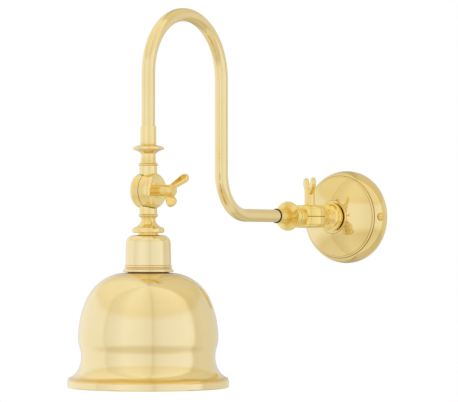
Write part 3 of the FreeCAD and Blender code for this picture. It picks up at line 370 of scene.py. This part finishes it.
def plate_brass():
    """Wall plate: old polish with painted shadow in its grooves and round the side screws, and painted shadow
    that darkens the top.
    """
    finish = polished_brass("plate_brass", (0.87, 0.715, 0.37), (0.865, 0.68, 0.30), ORIGIN, LAID_BACK,
                            roughness=(0.05, 0.10))
    reach = finish.across(ORIGIN, WALLWARD)
    bands = [(reach, radius, LINE, STRONG) for radius in GROOVE_RADII]
    bands.append((reach, HUB_LINE_RADIUS, LINE, CLEAR))
    for side in (1, -1):
        seat, lean = ((side * x, y, z) for x, y, z in (SCREW_SEAT, SCREW_LEAN))
        bands.append((finish.across(seat, lean), SCREW_HEAD_RADIUS, LINE, 0.8))
    # Old polish with painted shadow in the grooves, round the hub and round the screw heads.
    finish.darken(OLD_POLISH_AND_PAINTED_SHADOW, *bands)
    # Painted shadow: the top of the plate darker.
    finish.darken(PAINTED_TOP_SHADOW, (finish.along(ORIGIN, UPWARD), 0.036, 0.030, 0.7))
    return finish.material


def side_screw_brass():
    """Side screws, with old polish and painted shadow in the slot."""
    finish = polished_brass("screw_brass", DEEP, RICH, ORIGIN, roughness=(0.14, 0.24))
    # Old polish with painted shadow in the slot.
    finish.darken(OLD_POLISH_AND_PAINTED_SHADOW, (finish.along(ORIGIN, UPWARD), 0.0, 0.0006, STRONG))
    return finish.material


def knuckle_lines(measure, sleeve_side):
    """Old polish with painted shadow at the edges of a knuckle's two rings and of its disc."""
    edges = [(-sleeve_side * edge, half) for edge, half in zip(PLAIN_RING_EDGES, (FINE_LINE, LINE))]
    edges += [(sleeve_side * edge, half) for edge, half in zip(SLEEVE_RING_EDGES, (FINE_LINE, LINE))]
    bands = [(measure, edge, half, CLEAR) for edge, half in edges]
    return bands + [(measure, sleeve_side * DISC_EDGE, LINE, FAINT)]


def swing_brass():
    """Both halves of the wall-side knuckle, with painted shadow and reflection in the creases at the necks
    and the disc's foot, and a painted shadow line where the sleeve's mouth meets the tube.
    """
    finish = polished_brass("swing_knuckle_brass", (0.90, 0.735, 0.31), (0.88, 0.665, 0.205), SWING_PIVOT,
                            roughness=(0.04, 0.09))
    out = finish.along(SWING_PIVOT, WALLWARD)
    finish.darken(OLD_POLISH_AND_PAINTED_SHADOW, *knuckle_lines(out, -1))
    # Painted shadow and reflection in the creases at the necks and at the disc's foot.
    finish.darken(PAINTED_KNUCKLE_SHADOW, (out, NECK, 0.0040, 0.55), (out, -NECK, 0.0040, 0.45),
                  (out, -DISC_FOOT, 0.0030, 0.5))
    # Painted shadow line in the gap at the sleeve's mouth.
    finish.darken(PAINTED_GAP_SHADOW, (out, -SLEEVE_MOUTH, 0.0006, 0.95))
    return finish.material


def tilt_brass():
    """Both halves of the knuckle over the shade, with old polish and painted shadow at its edges and painted
    shadow and reflection in its creases.
    """
    finish = polished_brass("tilt_knuckle_brass", (0.895, 0.755, 0.40), (0.88, 0.69, 0.28), TILT_PIVOT,
                            LAID_ACROSS, roughness=(0.04, 0.09))
    up = finish.along(TILT_PIVOT, UPWARD)
    finish.darken(OLD_POLISH_AND_PAINTED_SHADOW, *knuckle_lines(up, 1))
    # Painted shadow and reflection in the creases at the neck and at the disc's foot.
    finish.darken(PAINTED_KNUCKLE_SHADOW, (up, NECK, 0.0040, 0.35), (up, DISC_FOOT, 0.0025, 0.35))
    return finish.material


def wing_brass(name, pivot):
    """Wing screw and its washer."""
    return polished_brass(name, (0.895, 0.725, 0.34), (0.87, 0.655, 0.23), pivot, roughness=(0.05, 0.10),
                          spun=0.2, buffed=0.6).material


def tube_brass():
    """Drawn and bent tube, with a fine grain along the arm."""
    finish, place = lacquered_brass("arm_brass", (0.885, 0.74, 0.42), (0.87, 0.71, 0.37), (0.10, 0.17))
    grain = finish.noise(place, scale=420, detail=4, stretch=(1, 0.25, 0.25))
    finish.relief(0.000004, (grain, 1.0))
    return finish.material


def shade_brass():
    """Spun bell, made richer by painted shadow and reflection in the crease over its rim and under the cup.
    """
    finish = polished_brass("shade_brass", PALE, (0.875, 0.73, 0.41), SHADE_LINE, roughness=(0.10, 0.16),
                            spun=0.35, buffed=0.7)
    height = finish.along(SHADE_LINE, UPWARD)
    reach = finish.across(SHADE_LINE, UPWARD)
    # Painted shadow in the crease over the rim, and painted reflection of the cup's lip under the cup.
    finish.darken(PAINTED_BELL_SHADOW_AND_REFLECTION, (height, RIM_CREASE_LEVEL, 0.0030, 0.95), (reach, LIP_RADIUS, 0.017, 0.95))
    return finish.material


def cup_brass():
    """Cup over the shade, with old polish and painted shadow along its bead and lip."""
    finish = polished_brass("cup_brass", PALE, (0.87, 0.73, 0.42), SHADE_LINE, roughness=(0.12, 0.18))
    height = finish.along(SHADE_LINE, UPWARD)
    # Old polish with painted shadow along the bead lines and the lip.
    finish.darken(OLD_POLISH_AND_PAINTED_SHADOW, (height, BEAD_LEVELS[0], 0.0008, 0.7), (height, BEAD_LEVELS[1], 0.0006, 0.6),
                  (height, LIP_LEVEL, 0.0006, 0.8))
    return finish.material


def seat_brass_painted_shadow():
    """Thin rings that the plate and the cup sit on, in a darker, warmer brass that is painted shadow and
    reflection, seen as a warm line.
    """
    # Darker, warmer brass as painted shadow and reflection on the rings.
    return polished_brass("seat_ring_painted_shadow", (0.86, 0.62, 0.20), (0.80, 0.54, 0.14)).material


def turned_brass():
    """Unlacquered turned brass, a little dull, with clear tool marks."""
    finish = Finish("turned_brass", (0.64, 0.46, 0.2), metallic=1.0)
    place = finish.place()
    tones = finish.noise(place, scale=90, detail=5)
    finish.tint(tones, (0.3, (0.70, 0.52, 0.24)), (0.7, (0.56, 0.38, 0.16)))
    finish.gloss(finish.noise(place, scale=160, detail=4), 0.28, 0.45)
    marks = finish.noise(place, scale=900, detail=3, stretch=(0.3, 1, 1))
    finish.relief(0.00006, (marks, 1.0))
    return finish.material


def zinc_steel():
    """Zinc plate over rolled steel: soft crystal clouds, a rolling grain and small pits."""
    finish = Finish("zinc_steel", (0.6, 0.61, 0.62), metallic=1.0)
    place = finish.place()
    tones = finish.noise(place, scale=140, detail=6, roughness=0.7)
    finish.tint(tones, (0.3, (0.66, 0.67, 0.68)), (0.55, (0.56, 0.57, 0.58)), (0.75, (0.48, 0.47, 0.42)))
    finish.gloss(finish.noise(place, scale=220, detail=4), 0.28, 0.5)
    grain = finish.noise(place, scale=500, detail=4, stretch=(0.15, 3, 3))
    pits = finish.noise(place, scale=900)
    finish.relief(0.00008, (grain, 0.7), (pits, 0.3))
    return finish.material


def nickel_shell():
    """Nickel plate of the lampholder's shell and the bulb's cap, with fine drawing rings."""
    finish = Finish("nickel_shell", (0.78, 0.78, 0.78), metallic=1.0)
    place = finish.place()
    tones = finish.noise(place, scale=110, detail=4)
    finish.tint(tones, (0.3, (0.82, 0.82, 0.81)), (0.7, (0.68, 0.67, 0.63)))
    finish.gloss(finish.noise(place, scale=260, detail=4), 0.16, 0.32)
    rings = finish.noise(place, scale=700, detail=2, stretch=(0.1, 0.1, 1))
    finish.relief(0.00006, (rings, 1.0))
    return finish.material


def moulded(name, colour, speck, roughness, scale=300.0, **surface):
    """Moulded piece, glazed ceramic or cable sheath: flow clouds in the colour and a fine skin."""
    finish = Finish(name, colour, **surface)
    place = finish.place()
    clouds = finish.noise(place, scale / 4, detail=5)
    finish.tint(clouds, (0.35, colour), (0.7, speck))
    finish.gloss(finish.noise(place, scale, detail=4), *roughness)
    skin = finish.noise(place, scale * 3, detail=3)
    finish.relief(0.00008, (skin, 1.0))
    return finish.material


def opal_glass():
    """Milky blown glass with a slight thickening and a faint warm drift."""
    finish = Finish("opal_glass", (0.95, 0.94, 0.91), Coat_Weight=0.6, Coat_Roughness=0.03,
                    Subsurface_Weight=0.25, Subsurface_Scale=0.01)
    place = finish.place()
    drift = finish.noise(place, scale=30, detail=3)
    finish.tint(drift, (0.35, (0.96, 0.955, 0.93)), (0.7, (0.93, 0.915, 0.87)))
    finish.gloss(finish.noise(place, scale=90), 0.08, 0.18)
    thickening = finish.noise(place, scale=45, detail=2)
    finish.relief(0.0002, (thickening, 1.0))
    return finish.material


def finish_cad():
    """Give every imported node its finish."""
    materials = {
        "plate": plate_brass(), "screw": side_screw_brass(), "swing": swing_brass(), "tilt": tilt_brass(),
        "swing_wing": wing_brass("swing_wing_brass", SWING_PIVOT),
        "tilt_wing": wing_brass("tilt_wing_brass", TILT_PIVOT),
        "arm": tube_brass(), "shade": shade_brass(), "cup": cup_brass(),
        "seat": seat_brass_painted_shadow(), "turned": turned_brass(), "steel": zinc_steel(), "shell": nickel_shell(),
        "fibre": moulded("vulcanised_fibre", (0.30, 0.09, 0.05), (0.20, 0.06, 0.035), (0.5, 0.7)),
        "nylon": moulded("moulded_nylon", (0.86, 0.85, 0.80), (0.80, 0.79, 0.73), (0.35, 0.5)),
        "phenolic": moulded("brown_phenolic", (0.045, 0.022, 0.010), (0.065, 0.035, 0.018), (0.3, 0.45),
                            Specular_IOR_Level=0.15),
        "ceramic": moulded("glazed_ceramic", (0.92, 0.91, 0.87), (0.85, 0.83, 0.77), (0.1, 0.2), scale=200),
        "glass": opal_glass(),
        "sheath": moulded("clear_sheath", (0.83, 0.78, 0.62), (0.76, 0.70, 0.54), (0.3, 0.45)),
        "live": moulded("brown_core", (0.20, 0.07, 0.03), (0.13, 0.045, 0.02), (0.3, 0.45)),
        "neutral": moulded("blue_core", (0.03, 0.13, 0.42), (0.02, 0.09, 0.32), (0.3, 0.45)),
        "earth": moulded("green_core", (0.12, 0.38, 0.05), (0.45, 0.48, 0.03), (0.3, 0.45)),
    }
    chosen = {
        "wall_bracket": "steel", "cable_bush": "nylon", "wall_plate": "plate",
        "plate_screw_right": "screw", "plate_screw_left": "screw",
        "hub_washer": "steel", "hub_nut": "turned", "hub_nipple": "turned", "hub_seat_ring": "seat",
        "wall_collar": "swing", "arm_inner_collar": "swing", "swing_wing_screw": "swing_wing",
        "swing_friction_ring": "fibre", "tilt_friction_ring": "fibre",
        "swing_stop_pin": "steel", "tilt_stop_pin": "steel",
        "swing_thrust_washer": "swing_wing", "tilt_thrust_washer": "tilt_wing",
        "terminal_block": "nylon", "terminal_sleeve_1": "turned", "terminal_sleeve_2": "turned",
        "terminal_sleeve_3": "turned", "block_screw": "steel", "earth_screw": "turned",
        "wall_flex": "sheath", "arm_flex": "sheath", "shade_flex": "sheath",
        "live_core": "live", "neutral_core": "neutral", "earth_core": "earth",
        "arm_tube": "arm", "arm_outer_collar": "tilt", "shade_collar": "tilt", "tilt_wing_screw": "tilt_wing",
        "shade_seat_ring": "seat", "shade_nipple": "turned", "shade_nut": "turned",
        "shade_cup": "cup", "shade": "shade",
        "lampholder_cap": "phenolic", "lampholder_skirt": "phenolic", "shade_ring": "phenolic",
        "lampholder_insert": "ceramic", "screw_shell": "shell", "centre_contact": "turned",
        "bulb_button": "shell", "bulb_cap": "shell", "bulb_glass": "glass",
    }
    for node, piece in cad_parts.items():
        material = materials[chosen[node]]
        for slot in piece.material_slots:
            slot.material = material


place_camera()
studio_world()
studio_floor()
soft_box("key_box", (-0.75, -1.9, 0.75), width=1.0, height=1.4, power=9, tint=(1.0, 0.99, 0.97))
soft_box("fill_box", (1.9, -1.2, 0.3), width=1.0, height=1.4, power=7)
soft_box("top_box", (0.2, -0.4, 1.7), width=1.2, height=1.2, power=5)
finish_cad()

scene.view_settings.view_transform = "Standard"
